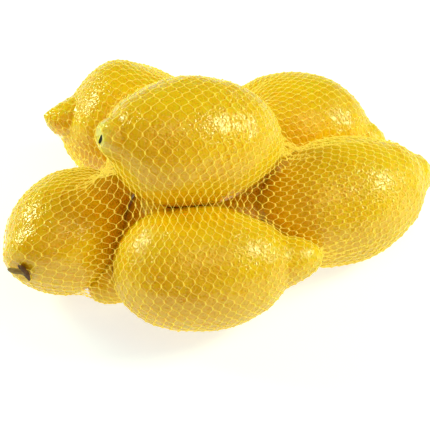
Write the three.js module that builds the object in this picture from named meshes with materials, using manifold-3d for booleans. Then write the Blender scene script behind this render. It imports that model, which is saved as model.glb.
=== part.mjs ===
// A net of lemons: eight lemons pulled into one bundle by a fine knitted net.
//
// The whole bundle is one closed body. Each lemon is a turned form with a fuller stem end, a
// nipple at its tip and a calyx in a shallow dimple. Where the stretched net crosses the
// hollows between the lower lemons it is pulled off them, so a core fills those hollows up to
// the net, while the top lemon lies on them in a dip of its own.
// The bundle stands on small flat spots where its lemons press on the ground.
//
// Units are millimetres, +Z is up. The origin is on the ground under the middle of the bundle,
// +X runs along the bundle's long side and +Y away from its front.

import * as THREE from 'three';
import { ConvexGeometry } from 'three/addons/geometries/ConvexGeometry.js';
import { mergeVertices } from 'three/addons/utils/BufferGeometryUtils.js';
import Module from 'manifold-3d';

const SEGMENTS_AROUND = 28;      // facets round a lemon
const STEPS_ALONG = 26;          // rings from one end of a lemon to the other
const STEM_FULLNESS = 2.2;       // power of the curve that rounds the stem half
const CREASE = 4;                // how sharply a nipple or a stem knob meets the body
const NIPPLE_START = 0.45;       // where a nipple begins inside the tip half, as a share of it
const KNOB_START = 0.6;          // where a stem knob begins inside the stem half
const FADE_IN = 0.3;             // share of the half over which either one grows out of the body
const ROUND_END = 0.5;           // power that makes the end of a nipple or a knob round
const TIP_BEND_START = 0.5;      // where the tip starts to bend, as a share of its half
const STEM_BEND_START = 0.6;
const CALYX_RADIUS = 4.6;
const CALYX_THICKNESS = 1.1;
const DIMPLE_RADIUS = 6.2;
const DIMPLE_DEPTH = 1.2;
const NET_SAG = 17;              // depth of the net's sag below a flat wrap round the lemons
const CORE_RINGS = 7;
const CORE_SEGMENTS = 12;
const GROUND_BLOCK = 600;        // side of the block that trims the bundle at the ground

// One entry for each lemon. centre: its middle. heading: compass direction of its tip, in
// degrees from +X towards +Y. tilt: degrees that the tip is raised. radius: half its girth.
// stem and tip: length of either half of the body. fullness: power of the tip half's curve.
// nipple and knob: [radius, length past the body]. bend and stemBend: [to the left, up] shift
// of the tip and of the stem end. Where given, crease: how sharply this lemon's ends grow out
// of its body, point: how pointed its nipple is, and stemFullness: power of its stem half.
const LEMONS = {
  front: {
    centre: [-14, -50, 28.5], heading: 1, tilt: 0, radius: 29, stem: 37.5, tip: 43.5,
    fullness: 2.2, nipple: [14.5, 16], knob: [7, 1], bend: [2.5, 2.5], stemBend: [0, 0],
  },
  left: {
    centre: [-74, -26.5, 29.6], heading: 64, tilt: 4, radius: 26.4, stem: 32.5, tip: 36,
    fullness: 1.8, nipple: [15.5, 11.5], knob: [7, 1], bend: [-9, -5.5], stemBend: [4.5, 4],
  },
  top: {
    centre: [-14.5, -11, 71.5], heading: 23, tilt: -13.5, radius: 29.7, stem: 41, tip: 44,
    fullness: 2.05, nipple: [7, 4.5], knob: [13.4, 7.5], bend: [-2.5, -1.5], stemBend: [0, 7],
    crease: 7, stemFullness: 2.4,
  },
  right: {
    centre: [55.5, -7, 29.6], heading: 22.5, tilt: -1, radius: 30.3, stem: 40, tip: 43,
    fullness: 2, nipple: [16, 7.5], knob: [7, 1], bend: [1, 3], stemBend: [0, 0],
  },
  back_right: {
    centre: [38, 50.5, 27.5], heading: -10, tilt: 0, radius: 28, stem: 37, tip: 37.5,
    fullness: 2, nipple: [13.5, 9], knob: [7, 1], bend: [-2, -2.5], stemBend: [0, 0],
  },
  back_left: {
    centre: [-44.5, 47, 33.3], heading: 182.5, tilt: 25.5, radius: 31, stem: 39, tip: 34,
    fullness: 2.8, nipple: [15, 11.5], knob: [7, 1], bend: [8, -4.5], stemBend: [0, 0],
    crease: 9, point: 0.8,
  },
  hidden: {
    centre: [-24, -10, 18], heading: 229.5, tilt: -7.2, radius: 23, stem: 36, tip: 34,
    fullness: 1.8, nipple: [16, 20], knob: [6, 1], bend: [-1.5, 0], stemBend: [0, 0],
  },
  under: {
    centre: [11, 13, 23], heading: 5, tilt: 0, radius: 21.5, stem: 32, tip: 34,
    fullness: 2, nipple: [10, 5], knob: [6, 1], bend: [0, 0], stemBend: [0, 0],
  },
};

const wasm = await Module();
wasm.setup();

// A closed triangle mesh as a solid that can be joined and cut.
function toSolid(geometry) {
  const bare = geometry.clone();
  bare.deleteAttribute('normal');
  bare.deleteAttribute('uv');
  const merged = mergeVertices(bare, 1e-5);
  return new wasm.Manifold(new wasm.Mesh({
    numProp: 3,
    vertProperties: Float32Array.from(merged.attributes.position.array),
    triVerts: Uint32Array.from(merged.index.array),
  }));
}

function toGeometry(solid) {
  const mesh = solid.getMesh();
  const geometry = new THREE.BufferGeometry();
  geometry.setAttribute('position', new THREE.BufferAttribute(mesh.vertProperties, 3));
  geometry.setIndex(new THREE.BufferAttribute(mesh.triVerts, 1));
  geometry.computeVertexNormals();
  return geometry;
}

// Rounds a half of the body off to nothing at its end.
function halfRadius(lemon, along) {
  const length = along < 0 ? lemon.stem : lemon.tip;
  const power = along < 0 ? lemon.stemFullness ?? STEM_FULLNESS : lemon.fullness;
  const reach = Math.min(1, Math.abs(along) / length);
  return lemon.radius * Math.sqrt(1 - reach ** power);
}

// Radius of a nipple or a stem knob that grows out of one half of the body.
function endRadius([radius, extra], length, start, point, distance) {
  const from = start * length;
  const share = Math.min(1, Math.max(0, (distance - from) / (length + extra - from)));
  const growth = Math.min(1, Math.max(0, (distance - from) / (FADE_IN * length)));
  return radius * (1 - share ** 2) ** point * growth;
}

function lemonRadius(lemon, along) {
  const body = halfRadius(lemon, along);
  const end = along < 0
    ? endRadius(lemon.knob, lemon.stem, KNOB_START, ROUND_END, -along)
    : endRadius(lemon.nipple, lemon.tip, NIPPLE_START, lemon.point ?? ROUND_END, along);
  const crease = lemon.crease ?? CREASE;
  return (body ** crease + end ** crease) ** (1 / crease);
}

// Depth of the dimple at the stem end, with the calyx standing in it.
function stemRelief(radius) {
  if (radius >= DIMPLE_RADIUS) return 0;
  const dimple = DIMPLE_DEPTH * (1 - (radius / DIMPLE_RADIUS) ** 2);
  return radius < CALYX_RADIUS ? dimple - CALYX_THICKNESS : dimple;
}

// A lemon's outline from its stem end to its tip, as [distance along the axis, radius].
function lemonOutline(lemon) {
  const stemReach = lemon.stem + lemon.knob[1];
  const tipReach = lemon.tip + lemon.nipple[1];
  const points = [[-stemReach + stemRelief(0), 0], [-stemReach + stemRelief(0), CALYX_RADIUS - 0.4]];
  for (let step = 1; step < STEPS_ALONG; step += 1) {
    const turn = Math.PI * (step / STEPS_ALONG - 0.5);
    const along = Math.sin(turn) * (turn < 0 ? stemReach : tipReach);
    const radius = lemonRadius(lemon, along);
    if (radius <= CALYX_RADIUS && along < 0) continue;
    points.push([along + (along < 0 ? stemRelief(radius) : 0), radius]);
  }
  points.push([tipReach, 0]);
  return points;
}

// The lemon's own directions: along its axis, to its left and upwards.
function lemonAxes(lemon) {
  const heading = THREE.MathUtils.degToRad(lemon.heading);
  const tilt = THREE.MathUtils.degToRad(lemon.tilt);
  const along = new THREE.Vector3(
    Math.cos(heading) * Math.cos(tilt), Math.sin(heading) * Math.cos(tilt), Math.sin(tilt));
  const left = new THREE.Vector3(0, 0, 1).cross(along).normalize();
  const up = along.clone().cross(left);
  return { along, left, up };
}

// Share of the sideways bend reached at a distance along the axis.
function bendShare(lemon, along) {
  const [start, half, extra] = along < 0
    ? [STEM_BEND_START, lemon.stem, lemon.knob[1]]
    : [TIP_BEND_START, lemon.tip, lemon.nipple[1]];
  const distance = Math.abs(along) - start * half;
  return THREE.MathUtils.smoothstep(distance / ((1 - start) * half + extra), 0, 1);
}

// A turned lemon in place, with its ends bent to one side.
function lemonGeometry(lemon) {
  const outline = lemonOutline(lemon).map(([along, radius]) => new THREE.Vector2(radius, along));
  const geometry = new THREE.LatheGeometry(outline, SEGMENTS_AROUND);
  const { along, left, up } = lemonAxes(lemon);
  const spin = new THREE.Matrix4().makeBasis(up, along, left);
  const position = geometry.attributes.position;
  const point = new THREE.Vector3();
  for (let index = 0; index < position.count; index += 1) {
    point.fromBufferAttribute(position, index);
    const [toLeft, toUp] = point.y < 0 ? lemon.stemBend : lemon.bend;
    const lean = bendShare(lemon, point.y);
    point.x += toUp * lean;
    point.z += toLeft * lean;
    point.applyMatrix4(spin).add(new THREE.Vector3(...lemon.centre));
    position.setXYZ(index, point.x, point.y, point.z);
  }
  return geometry;
}

// Points on a lemon's body drawn in by the net's sag.
function corePoints(lemon) {
  const { along, left, up } = lemonAxes(lemon);
  const points = [];
  for (let ring = 0; ring <= CORE_RINGS; ring += 1) {
    const turn = Math.PI * (ring / CORE_RINGS - 0.5);
    const length = (turn < 0 ? lemon.stem : lemon.tip) - NET_SAG;
    const radius = (lemon.radius - NET_SAG) * Math.cos(turn);
    for (let segment = 0; segment < CORE_SEGMENTS; segment += 1) {
      const angle = 2 * Math.PI * segment / CORE_SEGMENTS;
      points.push(new THREE.Vector3(...lemon.centre)
        .addScaledVector(along, Math.sin(turn) * length)
        .addScaledVector(left, Math.cos(angle) * radius)
        .addScaledVector(up, Math.sin(angle) * radius));
    }
  }
  return points;
}

function netOfLemons() {
  const { top, ...lower } = LEMONS;
  let bundle = toSolid(new ConvexGeometry(Object.values(lower).flatMap(corePoints)));
  for (const lemon of [...Object.values(lower), top]) {
    bundle = bundle.add(toSolid(lemonGeometry(lemon)));
  }
  const aboveGround = new THREE.BoxGeometry(GROUND_BLOCK, GROUND_BLOCK, GROUND_BLOCK);
  aboveGround.translate(0, 0, GROUND_BLOCK / 2);
  return toGeometry(bundle.intersect(toSolid(aboveGround)));
}

const peel = new THREE.MeshStandardMaterial({ color: 0xe6bf1c, roughness: 0.42, metalness: 0 });

const model = new THREE.Group();
const net = new THREE.Mesh(netOfLemons(), peel);
net.name = 'net_of_lemons';
model.add(net);

export default model;
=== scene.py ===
import bpy
import numpy as np
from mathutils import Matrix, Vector
from mathutils.bvhtree import BVHTree


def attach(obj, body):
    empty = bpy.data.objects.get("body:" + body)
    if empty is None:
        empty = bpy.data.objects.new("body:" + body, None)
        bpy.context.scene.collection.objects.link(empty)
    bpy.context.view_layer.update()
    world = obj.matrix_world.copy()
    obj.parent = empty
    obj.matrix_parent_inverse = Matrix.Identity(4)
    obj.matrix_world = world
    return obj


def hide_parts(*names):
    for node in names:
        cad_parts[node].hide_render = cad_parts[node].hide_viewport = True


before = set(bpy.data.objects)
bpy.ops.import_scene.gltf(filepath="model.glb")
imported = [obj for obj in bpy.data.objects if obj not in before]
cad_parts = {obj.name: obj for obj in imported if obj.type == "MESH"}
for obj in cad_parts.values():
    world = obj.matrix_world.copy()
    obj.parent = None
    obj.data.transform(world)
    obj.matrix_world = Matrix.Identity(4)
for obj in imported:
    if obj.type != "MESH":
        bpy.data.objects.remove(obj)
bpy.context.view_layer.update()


# ---- Camera ---------------------------------------------------------------------------------
# A camera with a longish lens looks down on the front of the bundle at about 45 degrees. It
# stands 0.7 m from the front lemon, and aims a little above and behind it.
MM = 0.001
SENSOR = 36
LENS = 127.4
CAMERA_PLACE = (-11.7, -543.3, 524.5)
CAMERA_TARGET = (-3.9, -32.4, 45.4)


def aim(thing, place, target):
    """Puts a camera or a light at a place in millimetres, facing a target."""
    thing.location = Vector(place) * MM
    facing = Vector(target) - Vector(place)
    thing.rotation_euler = facing.to_track_quat("-Z", "Y").to_euler()
    bpy.context.scene.collection.objects.link(thing)


lens = bpy.data.cameras.new("camera")
lens.sensor_width = SENSOR
lens.lens = LENS
lens.clip_start = 0.01
camera = bpy.data.objects.new("camera", lens)
aim(camera, CAMERA_PLACE, CAMERA_TARGET)
bpy.context.scene.camera = camera


# ---- Lemons ---------------------------------------------------------------------------------
# Eight whole ripe lemons, each a body of revolution with a fuller stem end and a nipple at its
# tip, grown slightly uneven. They are pressed together by the net, so they flatten where they
# touch each other and where the bundle stands on the ground.
STEM_FULLNESS = 2.2
CREASE = 4
NIPPLE_START = 0.45
KNOB_START = 0.6
FADE_IN = 0.3
ROUND_END = 0.5
TIP_BEND_START = 0.5
STEM_BEND_START = 0.6
DIMPLE = (6.2, 1.6)
RINGS = 132
SEGMENTS = 176
GROUND = 0.4
SWELL = (0.55, 34)
DENTS = (0.13, 8)
RIPPLE = (0.07, 3.5)
RIB_COUNT = 5
RIB_HEIGHT = 0.35
OUTLINE_STEPS = 400
TABLE_STEP = 0.75
TABLE_MARGIN = 20.0
CONTACT_GAP = 0.3
DEEPEST_PRESS = 14
LEMON_FIRST_SEED = 3
LEMON_SEED_STEP = 10
SQUEEZED = {("left", "hidden"): 1}

# The forms repeat the solid's, but for the back left lemon's blunter shoulder, the hidden
# lemon's longer nipple and the sizes of the dimples. Each has its centre, the heading and tilt
# of its tip, half its girth, the lengths of its stem half and tip half, the fullness of the tip
# half, its nipple and its stem knob as (radius, length past the body), and the shifts (left,
# up) that bend its two ends.
# firm: how little it gives where it touches another lemon.
# pale: how pale and green its stem end is.
# crease: how sharply its ends grow out of the body. point: how pointed its nipple is.
# stem_fullness: the fullness of its stem half. ribs: the height of the ribs round its stem end.
# shoulder: the side on which its tip half is blunter, in degrees round it, and by how much.
# dimple: the radius and the depth of the dimple at its stem end.
# calyx_lean, calyx_shift: how the calyx leans, and how far it lies off the stem end's middle.
LEMONS = {
    "front": dict(
        centre=(-14, -50, 28.5), heading=1, tilt=0, radius=29, stem=37.5, tip=43.5,
        fullness=2.2, nipple=(14.5, 16), knob=(7, 1), bend=(2.5, 2.5), stem_bend=(0, 0),
        firm=1, pale=0.15),
    "left": dict(
        centre=(-74, -26.5, 29.6), heading=64, tilt=4, radius=26.4, stem=32.5, tip=36,
        fullness=1.8, nipple=(15.5, 11.5), knob=(7, 1), bend=(-9, -5.5), stem_bend=(4.5, 4),
        firm=0.1, pale=0.1, calyx_lean=np.array((-0.5, 0, -0.4)),
        calyx_shift=np.array((1.2, -1.5, 1.2))),
    "top": dict(
        centre=(-14.5, -11, 71.5), heading=23, tilt=-13.5, radius=29.7, stem=41, tip=44,
        fullness=2.05, nipple=(7, 4.5), knob=(13.4, 7.5), bend=(-2.5, -1.5), stem_bend=(0, 7),
        firm=1, pale=0.8, crease=7, stem_fullness=2.4, dimple=(4.6, 2), ribs=0.8,
        calyx_shift=np.array((0.6, -0.9, 0.1))),
    "right": dict(
        centre=(55.5, -7, 29.6), heading=22.5, tilt=-1, radius=30.3, stem=40, tip=43,
        fullness=2, nipple=(16, 7.5), knob=(7, 1), bend=(1, 3), stem_bend=(0, 0),
        firm=1, pale=0.3),
    "back_right": dict(
        centre=(38, 50.5, 27.5), heading=-10, tilt=0, radius=28, stem=37, tip=37.5,
        fullness=2, nipple=(13.5, 9), knob=(7, 1), bend=(-2, -2.5), stem_bend=(0, 0),
        firm=1, pale=0.2),
    "back_left": dict(
        centre=(-44.5, 47, 33.3), heading=182.5, tilt=25.5, radius=31, stem=39, tip=34,
        fullness=2.4, nipple=(15, 11.5), knob=(7, 1), bend=(8, -4.5), stem_bend=(0, 0),
        firm=1, pale=0.25, crease=9, point=0.8, shoulder=(70, 1.3)),
    "hidden": dict(
        centre=(-24, -10, 18), heading=229.5, tilt=-7.2, radius=23, stem=36, tip=34,
        fullness=1.8, nipple=(17, 21.5), knob=(6, 1), bend=(-1.5, 0), stem_bend=(0, 0),
        firm=1, pale=0.2),
    "under": dict(
        centre=(11, 13, 23), heading=5, tilt=0, radius=21.5, stem=32, tip=34,
        fullness=2, nipple=(10, 5), knob=(6, 1), bend=(0, 0), stem_bend=(0, 0),
        firm=0.5, pale=0.2),
}


def unit(vectors):
    vectors = np.asarray(vectors, float)
    return vectors / (np.linalg.norm(vectors, axis=-1, keepdims=True) + 1e-12)


def lemon_axes(lemon):
    """Rows: along the lemon from stem to tip, to its left, and upwards."""
    heading, tilt = np.radians(lemon["heading"]), np.radians(lemon["tilt"])
    flat = np.cos(tilt)
    along = np.array([np.cos(heading) * flat, np.sin(heading) * flat, np.sin(tilt)])
    left = unit(np.cross((0, 0, 1), along))
    return np.array([along, left, np.cross(along, left)])


def halves(lemon, along):
    """Which points are in the stem half, the half's length and what its end adds to it."""
    stem = along < 0
    half = np.where(stem, lemon["stem"], lemon["tip"])
    extra = np.where(stem, lemon["knob"][1], lemon["nipple"][1])
    return stem, half, extra


def lemon_radius(lemon, along):
    """Half the girth at a distance along the axis: the body with a nipple or a knob on it."""
    stem, half, extra = halves(lemon, along)
    power = np.where(stem, lemon.get("stem_fullness", STEM_FULLNESS), lemon["fullness"])
    body = lemon["radius"] * np.sqrt(1 - np.minimum(1, abs(along) / half) ** power)
    start = half * np.where(stem, KNOB_START, NIPPLE_START)
    share = np.clip((abs(along) - start) / (half + extra - start), 0, 1)
    growth = np.clip((abs(along) - start) / (FADE_IN * half), 0, 1)
    end = np.where(stem, lemon["knob"][0], lemon["nipple"][0]) * growth
    end = end * (1 - share ** 2) ** np.where(stem, ROUND_END, lemon.get("point", ROUND_END))
    crease = lemon.get("crease", CREASE)
    return (body ** crease + end ** crease) ** (1 / crease)


def lemon_bend(lemon, along):
    """Sideways shift of the axis, to the left and upwards."""
    stem, half, extra = halves(lemon, along)
    start = half * np.where(stem, STEM_BEND_START, TIP_BEND_START)
    share = np.clip((abs(along) - start) / (half + extra - start), 0, 1)
    share = share ** 2 * (3 - 2 * share)
    return share[..., None] * np.where(stem[..., None], lemon["stem_bend"], lemon["bend"])


def waves(points, wavelength, seed, count=14):
    """Smooth unevenness between about -1 and 1, from plane waves in many directions."""
    random = np.random.default_rng(seed)
    directions = unit(random.normal(size=(count, 3)))
    lengths = wavelength * random.uniform(0.75, 1.4, count)
    phases = random.uniform(0, 2 * np.pi, count)
    turns = points @ (directions * (2 * np.pi / lengths)[:, None]).T + phases
    return np.sin(turns).sum(-1) * np.sqrt(2 / count) * 0.6


def lemon_points(lemon, seed):
    """Rings of points over a lemon, from its stem end to its tip, and their place along it."""
    stem_reach = lemon["stem"] + lemon["knob"][1]
    tip_reach = lemon["tip"] + lemon["nipple"][1]
    turn = np.linspace(-np.pi / 2, np.pi / 2, RINGS)
    along = np.sin(turn) * np.where(turn < 0, stem_reach, tip_reach)
    angle = np.arange(SEGMENTS) * 2 * np.pi / SEGMENTS
    along, angle = np.meshgrid(along, angle, indexing="ij")
    towards, blunter = lemon.get("shoulder", (0, 0))
    facing = (0.5 + 0.5 * np.cos(angle - np.radians(towards))) ** 2
    radius = lemon_radius(dict(lemon, fullness=lemon["fullness"] + blunter * facing), along)
    radius[0] = radius[-1] = 0
    plain = np.stack([along, radius * np.cos(angle), radius * np.sin(angle)], -1)
    share = np.clip(radius / lemon["radius"], 0, 1)
    stemward = np.clip(-along / stem_reach, 0, 1) ** 4
    uneven = SWELL[0] * waves(plain, SWELL[1], seed) * share ** 0.5
    uneven += DENTS[0] * waves(plain, DENTS[1], seed + 1)
    uneven += RIPPLE[0] * waves(plain, RIPPLE[1], seed + 2)
    ribs = lemon.get("ribs", RIB_HEIGHT) * np.cos(RIB_COUNT * angle + seed) * stemward * share
    radius = np.maximum(0, radius + (uneven + ribs) * np.clip(share * 6, 0, 1))
    wide, deep = lemon.get("dimple", DIMPLE)
    dimple = deep * np.clip(1 - (radius / wide) ** 2, 0, 1)
    dent = along + np.where(along < 0, dimple, 0)
    side = np.stack([radius * np.cos(angle), radius * np.sin(angle)], -1)
    side = side + lemon_bend(lemon, along)
    local = np.concatenate([dent[..., None], side], -1)
    return local @ lemon_axes(lemon) + lemon["centre"], along


class Skin:
    """Signed distance and outward direction from a lemon's plain form, from a small table."""

    def __init__(self, lemon):
        self.lemon = lemon
        self.axes = lemon_axes(lemon)
        low = -lemon["stem"] - lemon["knob"][1]
        high = lemon["tip"] + lemon["nipple"][1]
        turn = np.linspace(-np.pi / 2, np.pi / 2, OUTLINE_STEPS)
        outline = np.sin(turn) * np.where(turn < 0, -low, high)
        radii = lemon_radius(lemon, outline)
        radii[0] = radii[-1] = 0
        self.low = low - TABLE_MARGIN
        along = np.arange(self.low, high + TABLE_MARGIN, TABLE_STEP)
        away = np.arange(0, lemon["radius"] + TABLE_MARGIN, TABLE_STEP)
        along, away = np.meshgrid(along, away, indexing="ij")
        near = np.full(along.shape, np.inf)
        for x, r in zip(outline, radii):
            near = np.minimum(near, (along - x) ** 2 + (away - r) ** 2)
        inside = away < np.interp(along, outline, radii, left=0, right=0)
        self.table = np.where(inside, -1, 1) * np.sqrt(near)

    def __call__(self, points):
        local = (points - self.lemon["centre"]) @ self.axes.T
        side = local[:, 1:] - lemon_bend(self.lemon, local[:, 0])
        away = np.linalg.norm(side, axis=1) + 1e-9
        raw = np.stack([(local[:, 0] - self.low) / TABLE_STEP, away / TABLE_STEP], 1)
        place = np.clip(raw, 0, np.array(self.table.shape) - 1.001)
        i, j = place.astype(int).T
        u, v = (place - place.astype(int)).T
        a, b = self.table[i, j], self.table[i + 1, j]
        c, d = self.table[i, j + 1], self.table[i + 1, j + 1]
        beyond = raw - place
        distance = (a * (1 - u) + b * u) * (1 - v) + (c * (1 - u) + d * u) * v
        distance = distance + TABLE_STEP * np.linalg.norm(beyond, axis=1)
        slope = np.stack([(b - a) * (1 - v) + (d - c) * v, (c - a) * (1 - u) + (d - b) * u], 1)
        slope = np.where(np.any(beyond != 0, axis=1, keepdims=True), beyond + 1e-9, slope)
        normal = np.concatenate([slope[:, :1], slope[:, 1:] * side / away[:, None]], 1)
        return distance, unit(normal) @ self.axes


def new_mesh(name, vertices, faces, smooth=True):
    """A mesh object from vertices in millimetres and an array of equal-sided faces."""
    mesh = bpy.data.meshes.new(name)
    faces = np.asarray(faces)
    count, sides = faces.shape
    mesh.vertices.add(len(vertices))
    mesh.vertices.foreach_set("co", (np.asarray(vertices) * MM).ravel())
    mesh.loops.add(count * sides)
    mesh.loops.foreach_set("vertex_index", faces.ravel())
    mesh.polygons.add(count)
    mesh.polygons.foreach_set("loop_start", np.arange(count) * sides)
    mesh.update(calc_edges=True)
    mesh.validate()
    if smooth:
        mesh.shade_smooth()
    thing = bpy.data.objects.new(name, mesh)
    bpy.context.scene.collection.objects.link(thing)
    return thing


def grid_faces(rows, columns):
    """Quads over a grid whose columns close into a ring."""
    i, j = np.meshgrid(np.arange(rows - 1), np.arange(columns), indexing="ij")
    after = (j + 1) % columns
    here, above = i * columns, (i + 1) * columns
    return np.stack([here + j, here + after, above + after, above + j], -1).reshape(-1, 4)


def press(points, name):
    """Pushes points out of the neighbours, each side giving way by its share."""
    moved = points.copy()
    firm = LEMONS[name]["firm"]
    for other in LEMONS:
        if other == name:
            continue
        distance, normal = SKINS[other](points)
        give = LEMONS[other]["firm"] / (LEMONS[other]["firm"] + firm)
        gap = SQUEEZED.get((name, other), CONTACT_GAP)
        depth = np.clip(gap - distance, 0, DEEPEST_PRESS) * give
        moved += depth[:, None] * normal
    return moved


SKINS = {name: Skin(lemon) for name, lemon in LEMONS.items()}
lemons = {}
for seed, (name, lemon) in enumerate(LEMONS.items()):
    points, along = lemon_points(lemon, LEMON_SEED_STEP * seed + LEMON_FIRST_SEED)
    points = press(points.reshape(-1, 3), name)
    points[:, 2] = np.maximum(points[:, 2], GROUND)
    lemons[name] = new_mesh("lemon_" + name, points, grid_faces(RINGS, SEGMENTS))
    reach = np.where(along < 0, lemon["stem"] + lemon["knob"][1], lemon["tip"] + lemon["nipple"][1])
    for label, values in (("place", along / reach), ("pale", along * 0 + lemon["pale"])):
        layer = lemons[name].data.attributes.new(label, "FLOAT", "POINT")
        layer.data.foreach_set("value", values.ravel().astype(np.float32))


class Socket:
    """A shader socket that takes part in sums, products and other nodes."""

    def __init__(self, tree, socket):
        self.tree = tree
        self.socket = socket

    def node(self, kind, inputs=None, output=0, **settings):
        made = self.tree.nodes.new("ShaderNode" + kind)
        for name, value in settings.items():
            setattr(made, name, value)
        for key, value in (inputs or {}).items():
            if isinstance(value, Socket):
                self.tree.links.new(value.socket, made.inputs[key])
            else:
                made.inputs[key].default_value = value
        return Socket(self.tree, made.outputs[output])

    def maths(self, operation, *values):
        return self.node("Math", dict(enumerate(values)), operation=operation)

    def __add__(self, other):
        return self.maths("ADD", self, other)

    def __sub__(self, other):
        return self.maths("SUBTRACT", self, other)

    def __mul__(self, other):
        return self.maths("MULTIPLY", self, other)

    def __rsub__(self, other):
        return self.maths("SUBTRACT", other, self)

    __radd__ = __add__
    __rmul__ = __mul__

    def between(self, low, high):
        """0 below low, 1 above high, and smooth in between."""
        return self.node(
            "MapRange", {"Value": self, "From Min": low, "From Max": high},
            interpolation_type="SMOOTHSTEP")

    def blend(self, first, second):
        """A colour that goes from first to second as this value goes from 0 to 1."""
        return self.node(
            "Mix", {0: self, 6: first, 7: second}, output=2, data_type="RGBA", clamp_factor=True)


def new_material(name, **constants):
    """A material whose main shader has its unchanging values set, and that shader's node."""
    material = bpy.data.materials.new(name)
    material.use_nodes = True
    shader = material.node_tree.nodes["Principled BSDF"]
    for key, value in constants.items():
        shader.inputs[key.replace("_", " ")].default_value = value
    return material, shader


def feed(shader, **inputs):
    """Links varying values to a shader's inputs."""
    for key, value in inputs.items():
        value.tree.links.new(value.socket, shader.inputs[key.replace("_", " ")])


def object_place(material):
    """The socket of a point's place on the object, from which the patterns are worked out."""
    return Socket(material.node_tree, None).node("TexCoord", output="Object")


def noise(place, size, detail=2, rough=0.5):
    """Smooth noise from 0 to 1 with features of a size in millimetres."""
    return place.node(
        "TexNoise", {"Vector": place, "Scale": 1 / (size * MM), "Detail": detail,
                     "Roughness": rough})


def peel_material():
    """Waxy peel: pebbled between its pores, mottled, paler at the tip and greener at the stem."""
    material, shader = new_material(
        "peel", Subsurface_Weight=0.5, Subsurface_Radius=(1.0, 0.35, 0.04),
        Subsurface_Scale=0.005, IOR=1.45, Coat_Roughness=0.14, Specular_IOR_Level=0.64)
    place = object_place(material)
    along = place.node("Attribute", output="Fac", attribute_name="place")
    pale = place.node("Attribute", output="Fac", attribute_name="pale")
    jitter = noise(place, 2.4, 1)
    pores = place.node(
        "TexVoronoi", {"Vector": place, "Scale": 1 / (1.3 * MM), "Randomness": 0.95},
        output="Distance", feature="SMOOTH_F1")
    pits = 1 - pores.between(0.08, 0.5)
    grain = noise(place, 0.6, 1)
    pebbles = noise(place, 1.4, 1)
    rolling = noise(place, 5, 2)
    height = pebbles * 0.85 + grain * 0.2 + rolling * 0.5 - pits * 0.5
    bump = place.node("Bump", {"Height": height, "Strength": 1.0, "Distance": 0.36 * MM})
    mottle = noise(place, 14, 3).between(0.35, 0.68)
    fleck = noise(place, 1.9, 2).between(0.3, 0.75)
    colour = mottle.blend((0.89, 0.55, 0.003, 1), (0.94, 0.62, 0.004, 1))
    colour = (fleck * 0.3).blend(colour, (0.85, 0.48, 0.002, 1))
    # The pores are painted darker and more orange: painted shade in their hollows.
    colour = (pits * 0.3).blend(colour, (0.72, 0.35, 0.002, 1))
    tip = along.between(0.72, 1.0)
    stem = (0 - along).between(0.84, 0.98)
    colour = (tip * 0.3).blend(colour, (0.86, 0.70, 0.012, 1))
    colour = (stem * pale).blend(colour, (0.88, 0.76, 0.10, 1))
    feed(shader, Base_Color=colour, Normal=bump)
    feed(shader, Roughness=0.11 + jitter * 0.07, Coat_Weight=mottle * 0.08)
    return material


peel = peel_material()
for name, lemon in lemons.items():
    lemon.data.materials.append(peel)
    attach(lemon, "root")
    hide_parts("net_of_lemons")


# ---- Calyxes --------------------------------------------------------------------------------
# The dry wooden button that the stalk leaves behind: a thin domed disc with five blunt lobes and
# the stalk's scar in its middle, lying in the dimple at the stem end. Its brown is darkened as
# painted shade, for the shadow where it meets the fruit. Three lemons have lost theirs: the top
# one shows a dark slit, the front and the right one a small healed scar.
CALYX_RADIUS = 4.3
CALYX_HEIGHT = 1.3
CALYX_LOBES = 0.09
SCAR_HEIGHT = 0.6
SCAR_LOBES = 0.03
STALK_SCAR_RADIUS = 1.5
STALK_SCAR_DEPTH = 0.45
SCAR_RIM_RADIUS = 1.9
SCAR_RIM_WIDTH = 0.5
SCAR_RIM_HEIGHT = 0.18
WRINKLE = 0.12
UNDERSIDE_SHARES = (0.97, 0.6, 0)
UNDERSIDE_EDGE = 0.1
UNDERSIDE_DEPTHS = (-0.6, -0.8)
AXIS_STEP = 3.0
SCARS = {"top": 3.7, "front": 1.7, "right": 2.2}
SLIT = 0.34
SLIT_TURN = np.radians(-16)


def stem_frame(lemon):
    """The place of the stem end, and axes whose first row points out of the fruit there."""
    reach = lemon["stem"] + lemon["knob"][1]
    spots = np.array([-reach, -reach + AXIS_STEP])
    middle = np.concatenate([spots[:, None], lemon_bend(lemon, spots)], 1)
    middle = middle @ lemon_axes(lemon) + lemon["centre"]
    out = unit(unit(middle[0] - middle[1]) + lemon.get("calyx_lean", 0))
    side = unit(np.cross(out, (0.3, 0.2, 1)))
    _, deep = lemon.get("dimple", DIMPLE)
    return middle[0] - out * deep, np.array([out, side, np.cross(out, side)])


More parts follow.
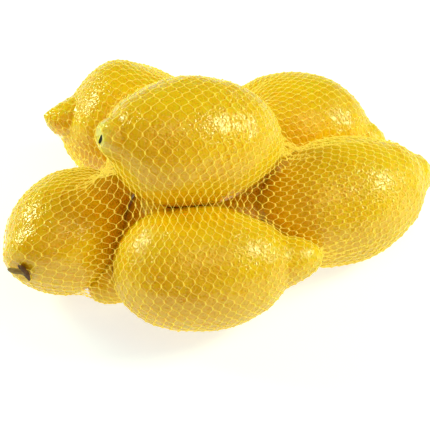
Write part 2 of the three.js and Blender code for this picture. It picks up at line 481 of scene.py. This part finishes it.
def calyx_points(radius, height, lobe, seed, rings=16, segments=60):
    """Rings over a button from its middle to its edge, and back underneath to its middle."""
    random = np.random.default_rng(seed)
    angle = np.arange(segments) * 2 * np.pi / segments
    lobes = lobe * np.cos(5 * angle + seed) + 0.4 * lobe * np.cos(3 * angle + 2 * seed)
    edge = radius * (1 + lobes)
    edge = edge * (1 + 0.03 * np.sin(11 * angle + random.uniform(0, 6)))
    share = np.concatenate([np.linspace(0, 1, rings), UNDERSIDE_SHARES])
    top = height * (0.55 + 0.45 * np.sqrt(np.clip(1 - share ** 2, 0, 1)))
    hollow = np.exp(-(share * radius / STALK_SCAR_RADIUS) ** 2)
    rim = np.exp(-((share * radius - SCAR_RIM_RADIUS) / SCAR_RIM_WIDTH) ** 2)
    top = top - STALK_SCAR_DEPTH * height * hollow + SCAR_RIM_HEIGHT * height * rim
    top[rings:] = (UNDERSIDE_EDGE * height, *UNDERSIDE_DEPTHS)
    away = share[:, None] * edge
    x, y = away * np.cos(angle), away * np.sin(angle)
    rise = np.repeat(top[:, None], segments, 1)
    wrinkle = WRINKLE * np.cos(5 * angle + seed) * np.minimum(1, share[:, None] * 1.5)
    rise[:rings] += wrinkle[:rings] * height
    return np.stack([rise, x, y], -1).reshape(-1, 3), grid_faces(rings + 3, segments)


def calyx_material(name, face, rim):
    """Dry fibrous wood of two tones."""
    material, shader = new_material(name, Specular_IOR_Level=0.3)
    place = object_place(material)
    grain = noise(place, 0.5, 3, 0.7)
    streak = noise(place, 2.2, 2)
    bump = place.node("Bump", {"Height": grain + streak, "Strength": 0.8, "Distance": 0.25 * MM})
    colour = (grain * 0.6 + streak * 0.5).between(0.3, 0.65).blend(rim, face)
    feed(shader, Base_Color=colour, Normal=bump, Roughness=0.65 + grain * 0.25)
    return material


# Dark brown wood, darkened further as painted shade where the calyx meets the fruit.
calyx_wood_and_shade = calyx_material("calyx_wood_and_painted_shade", (0.14, 0.062, 0.022, 1), (0.045, 0.014, 0.006, 1))
scar = calyx_material("stem_scar", (0.012, 0.009, 0.005, 1), (0.005, 0.004, 0.003, 1))
healed = calyx_material("healed_scar", (0.45, 0.28, 0.05, 1), (0.32, 0.16, 0.02, 1))
for seed, (name, lemon) in enumerate(LEMONS.items()):
    bare = name in SCARS
    if bare:
        points, faces = calyx_points(SCARS[name], SCAR_HEIGHT, SCAR_LOBES, seed)
    else:
        points, faces = calyx_points(CALYX_RADIUS, CALYX_HEIGHT, CALYX_LOBES, seed)
    if name == "top":
        points[:, 1] *= SLIT
        cosine, sine = np.cos(SLIT_TURN), np.sin(SLIT_TURN)
        points[:, 1:] = points[:, 1:] @ np.array([[cosine, sine], [-sine, cosine]])
    place, directions = stem_frame(lemon)
    place = place + lemon.get("calyx_shift", 0)
    kind = "stem_scar_" if bare else "calyx_"
    calyx = new_mesh(kind + name, points @ directions + place, faces)
    calyx.data.materials.append(scar if name == "top" else healed if bare else calyx_wood_and_shade)
    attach(calyx, "root")
    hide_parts("net_of_lemons")


# ---- Stalk ----------------------------------------------------------------------------------
# The short dry piece of stalk that the left lemon kept when it was clipped off the tree: a
# tapered twig, thickened where it grows out of the calyx. Its outline is a radius at each share
# of its length.
STALK_LENGTH = 8.2
STALK_DIRECTION = (-0.97, 0.05, 0.19)
STALK_SAG = 0.6
STALK_SHARES = np.array([0, 0, 0.1, 0.25, 0.45, 0.65, 0.82, 0.94, 1, 1])
STALK_RADII = np.array([0, 1.9, 1.5, 1.25, 1.3, 1.25, 1.1, 0.8, 0.45, 0])
STALK_SEGMENTS = 28

place, _ = stem_frame(LEMONS["left"])
place = place + LEMONS["left"]["calyx_shift"]
out = unit(STALK_DIRECTION)
side = unit(np.cross(out, (0, 0, 1)))
angle = np.arange(STALK_SEGMENTS) * 2 * np.pi / STALK_SEGMENTS
bark = 1 + 0.07 * np.sin(3 * angle + 1) + 0.05 * np.sin(7 * angle)
away = STALK_RADII[:, None] * bark
ring = np.stack([np.cos(angle), np.sin(angle)], -1)
points = (place + out * (STALK_LENGTH * STALK_SHARES)[:, None])[:, None, :]
points = points + (away[..., None] * ring) @ np.array([side, np.cross(out, side)])
points[..., 2] -= STALK_SAG * np.sin(np.pi * STALK_SHARES)[:, None]
stalk = new_mesh("stalk_left", points.reshape(-1, 3), grid_faces(len(STALK_SHARES), STALK_SEGMENTS))
stalk.data.materials.append(
    calyx_material("stalk_wood", (0.42, 0.31, 0.10, 1), (0.20, 0.12, 0.04, 1)))
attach(stalk, "root")
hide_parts("net_of_lemons")


# ---- Net ------------------------------------------------------------------------------------
# A tube of fine knitted plastic yarn with six-sided cells and a knot at each crossing. Its wales
# run from one gathered end in the gap under the front lemon, up over the bundle, to the other in
# the pit behind the top lemon. It is stretchy, so it lies tight on the fruit and crosses the gaps.
WALES = 98
COURSES = 63
BOTTOM_END = (3, -29, 3.5)
TOP_END = (-2, 38, 52)
BOTTOM_WAY = (0.2, 0.95, -0.1)
TOP_WAY = (0, 0.3, 0.95)
NECK_RADIUS = 2.4
YARN_RADIUS = 0.11
YARN_STEPS = 4
YARN_CURVE = 0.4
KNOT_HALF = 0.6
KNOT_OVERLAP = 0.25
KNOT_RADII = (0.12, 0.42, 0.42, 0.12)
TUBE_SIDES = 4
LOWEST = 0.02

# It starts as a wide bag round the bundle, and its ends close during the first steps.
BAG_MIDDLE = (0, 0, 50)
BAG_REACH = (128, 105, 82)
BAG_AXIS = (0, 0.45, 0.9)
SETTLING_STEPS = 1100
CLOSING_SHARE = 0.4

# A yarn pulls when it is longer than its slack length, and hardly pushes when it is shorter.
# Springs across each cell keep the cells open, and the whole net is drawn towards the fruit.
YARN_LENGTH = 3.6
YARN_PUSH = 0.1
CELL_WIDTH = 5.2
CELL_HEIGHT = 6.8
CELL_STIFFNESS = 0.08
INWARD_PULL = 0.8
PULL_ONSET = 2
SPEED_KEPT = 0.88
STEP_SIZE = 0.18
TOP_SPEED = 2

# Heights of the net's middle above the fruit, and how near the fruit it has to be to touch it.
LIFT = 0.14
YARN_SINK = 0.05
TOUCHING = 0.35
SEARCH_REACH = 4.5


def knit_pairs():
    """Pairs of knots joined by a yarn that leans to one side and to the other, and neighbours."""
    index = np.arange((COURSES + 1) * WALES).reshape(COURSES + 1, WALES)
    straight, leaning = [], []
    for row in range(COURSES):
        after = np.roll(index[row + 1], 1 if row % 2 == 0 else -1)
        (straight if row % 2 else leaning).append(np.stack([index[row], after], 1))
        (leaning if row % 2 else straight).append(np.stack([index[row], index[row + 1]], 1))
    beside = np.stack([index.ravel(), np.roll(index, -1, 1).ravel()], 1)
    above = np.stack([index[:-2].ravel(), index[2:].ravel()], 1)
    return np.concatenate(straight), np.concatenate(leaning), beside, above


def bag_start():
    """Knots of the open bag before it is drawn in."""
    axis = unit(BAG_AXIS)
    across = np.array([1.0, 0, 0])
    back = np.cross(axis, across)
    row = np.arange(COURSES + 1)[:, None]
    down = np.pi * row / COURSES
    turn = 2 * np.pi * (np.arange(WALES) + 0.5 * (row % 2)) / WALES
    ring = np.cos(turn)[..., None] * across + np.sin(turn)[..., None] * back
    points = np.sin(down)[..., None] * ring - np.cos(down)[..., None] * axis
    return points * BAG_REACH + BAG_MIDDLE, turn


def end_axes(way):
    """Directions at a gathered end: out of the bag along its neck, across it and back."""
    way = unit(way)
    across = unit(np.array([1.0, 0, 0]) - way[0] * way)
    return way, across, np.cross(way, across)


def neck_ring(end, way, turn, sign):
    """The first or last knots, drawn together into a neck."""
    _, across, back = end_axes(way)
    back = back * sign
    return np.array(end) + NECK_RADIUS * (
        np.cos(turn)[:, None] * across + np.sin(turn)[:, None] * back)


def summed(pairs, pull, count):
    """The sum at each knot of the pulls along its yarns."""
    first, last = pairs.T
    total = [np.bincount(first, pull[:, k], count) - np.bincount(last, pull[:, k], count)
             for k in range(3)]
    return np.stack(total, 1)


def nearest_skin(points):
    """Distance to the nearest lemon's plain form, and the direction out of it."""
    distance, normal = np.full(len(points), np.inf), np.zeros_like(points)
    for skin in SKINS.values():
        away, out = skin(points)
        nearer = away < distance
        distance[nearer], normal[nearer] = away[nearer], out[nearer]
    return distance, normal


def settle_net():
    """Draws the bag in over the lemons until the pulls in its yarns balance."""
    bag, turn = bag_start()
    shape = bag.shape
    ends = ((0, neck_ring(BOTTOM_END, BOTTOM_WAY, turn[0], -1)),
            (COURSES, neck_ring(TOP_END, TOP_WAY, turn[COURSES], 1)))
    straight, leaning, beside, above = knit_pairs()
    yarns = np.concatenate([straight, leaning])
    points = bag.reshape(-1, 3).copy()
    count = len(points)
    speed = np.zeros_like(points)
    distance, normal = nearest_skin(points)
    steps = SETTLING_STEPS
    for step in range(steps):
        run = points[yarns[:, 1]] - points[yarns[:, 0]]
        length = np.linalg.norm(run, axis=1, keepdims=True) + 1e-9
        pull = run * (1 - YARN_LENGTH / length) * np.where(length < YARN_LENGTH, YARN_PUSH, 1)
        force = summed(yarns, pull, count)
        for pairs, rest in ((beside, CELL_WIDTH), (above, CELL_HEIGHT)):
            gap = points[pairs[:, 1]] - points[pairs[:, 0]]
            length = np.linalg.norm(gap, axis=1, keepdims=True) + 1e-9
            force += summed(pairs, gap * CELL_STIFFNESS * (1 - rest / length), count)
        force -= normal * (INWARD_PULL * np.clip((distance - LIFT) / PULL_ONSET, 0, 1))[:, None]
        speed = SPEED_KEPT * speed + STEP_SIZE * force
        fastest = np.linalg.norm(speed, axis=1, keepdims=True) + 1e-9
        speed *= np.minimum(1, TOP_SPEED / fastest)
        points = points + speed
        distance = np.full(count, np.inf)
        for skin in SKINS.values():
            away, out = skin(points)
            sunk = away < LIFT
            points[sunk] += (LIFT - away[sunk])[:, None] * out[sunk]
            inward = np.minimum((speed[sunk] * out[sunk]).sum(1, keepdims=True), 0)
            speed[sunk] -= inward * out[sunk]
            nearer = away < distance
            distance[nearer], normal[nearer] = away[nearer], out[nearer]
        points[:, 2] = np.maximum(points[:, 2], YARN_RADIUS)
        closed = min(1, step / (steps * CLOSING_SHARE))
        grid = points.reshape(shape)
        for row, ring in ends:
            grid[row] = bag[row] + (ring - bag[row]) * closed
    return points


def lay_on_fruit(points, lift):
    """Moves points that touch the fruit to a set height above its real surface."""
    laid = points.copy()
    for tree in FRUIT_TREES:
        for k, point in enumerate(laid):
            spot, out, _, _ = tree.find_nearest(Vector(point * MM), SEARCH_REACH * MM)
            if spot is None:
                continue
            height = (Vector(point * MM) - spot).dot(out) / MM
            if height < lift + TOUCHING:
                laid[k] += (lift - height) * np.array(out)
    return laid


def fruit_tree(thing):
    """A lemon's mesh, ready to be searched for the spot nearest to a point."""
    corners = [vertex.co[:] for vertex in thing.data.vertices]
    return BVHTree.FromPolygons(corners, [face.vertices[:] for face in thing.data.polygons])


def tubes(paths, radii, out, sides=TUBE_SIDES):
    """Joined tubes. paths: (tube, point, 3), radii: (tube, point), out: away from the fruit."""
    count, steps = paths.shape[:2]
    ahead = unit(np.gradient(paths, axis=1))
    side = unit(np.cross(ahead, out))
    top = np.cross(side, ahead)
    angle = (np.arange(sides) + 0.5) * 2 * np.pi / sides
    ring = (np.cos(angle)[:, None] * side[:, :, None] + np.sin(angle)[:, None] * top[:, :, None])
    points = paths[:, :, None] + ring * np.asarray(radii)[..., None, None]
    faces = grid_faces(steps, sides)[None] + (np.arange(count) * steps * sides)[:, None, None]
    return points.reshape(-1, 3), faces.reshape(-1, 4)


straight, leaning, _, _ = knit_pairs()
knots = settle_net()
FRUIT_TREES = [fruit_tree(lemon) for lemon in lemons.values()]
knots = lay_on_fruit(knots, LIFT)
_, knot_out = nearest_skin(knots)

# Each knot points from the middles of its two lower yarns to those of its two upper ones.
upper, lower = np.zeros_like(knots), np.zeros_like(knots)
for pairs in (straight, leaning):
    np.add.at(upper, pairs[:, 0], 0.5 * knots[pairs[:, 1]])
    np.add.at(lower, pairs[:, 1], 0.5 * knots[pairs[:, 0]])
inner = np.zeros(len(knots), bool)
inner[WALES:-WALES] = True
rise = unit(np.where(inner[:, None], upper - lower, (0, 0, 1)))


def yarn_paths(pairs):
    """Each yarn leaves one knot's upper end and curves over into the next one's lower end."""
    first, last = pairs.T
    start = knots[first] + rise[first] * KNOT_HALF * inner[first, None]
    end = knots[last] - rise[last] * KNOT_HALF * inner[last, None]
    reach = np.linalg.norm(end - start, axis=1, keepdims=True) * YARN_CURVE
    head = np.where(inner[first, None], rise[first], unit(end - start)) * reach
    tail = np.where(inner[last, None], rise[last], unit(end - start)) * reach
    t = np.linspace(0, 1, YARN_STEPS)[None, :, None]
    path = ((2 * t ** 3 - 3 * t ** 2 + 1) * start[:, None]
            + (t ** 3 - 2 * t ** 2 + t) * head[:, None]
            + (3 * t ** 2 - 2 * t ** 3) * end[:, None] + (t ** 3 - t ** 2) * tail[:, None])
    inside = path[:, 1:-1].reshape(-1, 3)
    path[:, 1:-1] = lay_on_fruit(inside, LIFT - YARN_SINK).reshape(len(path), -1, 3)
    path[..., 2] = np.maximum(path[..., 2], YARN_RADIUS + LOWEST)
    return path


def yarn_material():
    """Clear yellow plastic, with a weak painted glow for the light coming through the thin yarn."""
    material, shader = new_material(
        "yarn", Specular_IOR_Level=0.2, Subsurface_Weight=0.9, Subsurface_Scale=0.0012,
        Subsurface_Radius=(1, 0.8, 0.25), Emission_Color=(1, 0.80, 0.12, 1),
        Emission_Strength=0.45)
    place = object_place(material)
    fibre = noise(place, 0.25, 2)
    tone = noise(place, 9, 2)
    colour = tone.between(0.3, 0.7).blend((0.54, 0.42, 0.02, 1), (0.56, 0.45, 0.04, 1))
    bump = place.node("Bump", {"Height": fibre, "Strength": 0.5, "Distance": 0.05 * MM})
    feed(shader, Base_Color=colour, Normal=bump, Roughness=0.38 + fibre * 0.2)
    return material


def add_net_piece(name, points, faces, material):
    """Adds a piece of the net, kept just above the ground."""
    points[:, 2] = np.maximum(points[:, 2], LOWEST)
    piece = new_mesh(name, points, faces)
    piece.data.materials.append(material)
    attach(piece, "root")
    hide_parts("net_of_lemons")


yarn = yarn_material()
for name, pairs in (("net_yarns_left", straight), ("net_yarns_right", leaning)):
    path = yarn_paths(pairs)
    out = 0.5 * (knot_out[pairs[:, 0]] + knot_out[pairs[:, 1]])[:, None]
    radii = np.full(path.shape[:2], YARN_RADIUS)
    points, faces = tubes(path, radii, np.repeat(out, YARN_STEPS, 1))
    add_net_piece(name, points, faces, yarn)
centres = knots[inner]
spread = np.linspace(-1, 1, len(KNOT_RADII))[None, :, None] * (KNOT_HALF + KNOT_OVERLAP)
path = centres[:, None] + spread * rise[inner][:, None]
out = np.repeat(knot_out[inner][:, None], len(KNOT_RADII), 1)
points, faces = tubes(path, np.tile(KNOT_RADII, (len(path), 1)), out)
add_net_piece("net_knots", points, faces, yarn)


# ---- Gathered ends --------------------------------------------------------------------------
# At both ends the net is drawn together, crimped with a plain wire clip and cut off, which
# leaves a short frayed tail of yarns beyond the clip.
TAIL_LENGTH = 9
TAIL_STEPS = 9
TAIL_FLARE = 1.6
TAIL_SWAY = 0.8
TAIL_TWIST = 0.5
TAIL_SHORTEST = 0.55
TAIL_OUT = (0.1, 0.2, 1.0)
CLIP_RADIUS = 2.7
CLIP_WIRE = 0.75
CLIP_WIRE_END = 0.05
CLIP_TURNS = 1.25
CLIP_RISE = 2.2
CLIP_STEPS = 64
CLIP_SIDES = 10


def tail_paths(end, way, seed):
    """Yarn ends that spread a little as they leave the clip and curl at their tips."""
    way, across, back = end_axes(way)
    random = np.random.default_rng(seed)
    t = np.linspace(0, 1, TAIL_STEPS)[None, :]
    turn = (2 * np.pi * np.arange(WALES) / WALES)[:, None]
    turn = turn + random.normal(0, TAIL_TWIST, (WALES, 1)) * t
    length = TAIL_LENGTH * random.uniform(TAIL_SHORTEST, 1.0, (WALES, 1))
    away = (random.uniform(0.2, 0.95, (WALES, 1)) * NECK_RADIUS * (1 + TAIL_FLARE * t ** 1.5)
            + random.uniform(0, TAIL_FLARE, (WALES, 1)) * t ** 2)
    along = length * t
    path = (along[..., None] * way + (away * np.cos(turn))[..., None] * across
            + (away * np.sin(turn))[..., None] * back)
    sway = random.normal(0, TAIL_SWAY, (WALES, 1, 3)) * (t ** 2)[..., None]
    return np.array(end) + path + sway


def clip_path(end, way):
    """A wire wound once and a quarter round the neck."""
    way, across, back = end_axes(way)
    t = np.linspace(0, 1, CLIP_STEPS)
    turn = 2 * np.pi * CLIP_TURNS * t
    rise = (t - 0.5) * CLIP_RISE
    ring = np.cos(turn)[:, None] * across + np.sin(turn)[:, None] * back
    return (np.array(end) + ring * CLIP_RADIUS + rise[:, None] * way)[None]


def clip_material():
    """Plain scuffed aluminium wire."""
    material, shader = new_material("clip_metal", Metallic=1.0)
    place = object_place(material)
    scuff = noise(place, 0.8, 3)
    colour = scuff.blend((0.55, 0.55, 0.56, 1), (0.8, 0.8, 0.82, 1))
    bump = place.node("Bump", {"Height": scuff, "Strength": 0.3, "Distance": 0.05 * MM})
    feed(shader, Base_Color=colour, Normal=bump, Roughness=0.3 + scuff * 0.25)
    return material


metal = clip_material()
for label, end, way, seed in (("bottom", BOTTOM_END, BOTTOM_WAY, 5), ("top", TOP_END, TOP_WAY, 9)):
    path = tail_paths(end, way, seed)
    out = np.broadcast_to(np.array(TAIL_OUT), path.shape)
    points, faces = tubes(path, np.full(path.shape[:2], YARN_RADIUS), out)
    add_net_piece("net_tail_" + label, points, faces, yarn)
    path = clip_path(end, way)
    out = np.broadcast_to(unit(way), path.shape)
    radii = np.full(path.shape[:2], CLIP_WIRE)
    radii[:, 0] = radii[:, -1] = CLIP_WIRE_END
    points, faces = tubes(path, radii, out, CLIP_SIDES)
    add_net_piece("clip_" + label, points, faces, metal)


# ---- Floor and lights -----------------------------------------------------------------------
# A plain white table top that glows a little, as a lit product table does. Two square lamps
# stand to the right and to the left rear, a larger warm one fills in from the front, and a weak
# one shines down from above. The room adds a little warm light.
FLOOR_SIZE = 4.0
LAMP_TARGET = (0, 0, 40)

half = FLOOR_SIZE / 2 / MM
corners = [(-half, -half, 0), (half, -half, 0), (half, half, 0), (-half, half, 0)]
floor = new_mesh("floor", corners, [(0, 1, 2, 3)], smooth=False)
paper, shader = new_material(
    "floor_paper", Base_Color=(0.56, 0.60, 0.66, 1), Roughness=0.9, Specular_IOR_Level=0.1,
    Emission_Color=(0.84, 0.91, 1, 1), Emission_Strength=0.67)
floor.data.materials.append(paper)


def softbox(name, azimuth, elevation, distance, size, power, colour):
    """A square lamp. azimuth: degrees from the front round to the right. distance, size: metres."""
    lamp = bpy.data.lights.new(name, "AREA")
    lamp.shape = "SQUARE"
    lamp.size = size
    lamp.energy = power
    lamp.color = colour
    turn, rise = np.radians(azimuth), np.radians(elevation)
    way = np.array([np.sin(turn) * np.cos(rise), -np.cos(turn) * np.cos(rise), np.sin(rise)])
    aim(bpy.data.objects.new(name, lamp), way * distance / MM, LAMP_TARGET)


softbox("lamp_right", 92, 36, 0.9, 0.3, 5.7, (0.79, 1, 0.68))
softbox("lamp_left", -112, 28, 0.9, 0.3, 6.1, (0.79, 1, 0.68))
softbox("lamp_front", -2, 48, 1.3, 0.7, 2.35, (1, 0.50, 0.25))
softbox("lamp_top", 25, 64, 1.0, 0.5, 1.45, (1, 0.90, 0.6))
world = bpy.data.worlds.new("studio")
world.use_nodes = True
room = world.node_tree.nodes["Background"]
room.inputs["Color"].default_value = (1, 0.82, 0.58, 1)
room.inputs["Strength"].default_value = 0.14
bpy.context.scene.world = world
bpy.context.scene.view_settings.view_transform = "Standard"
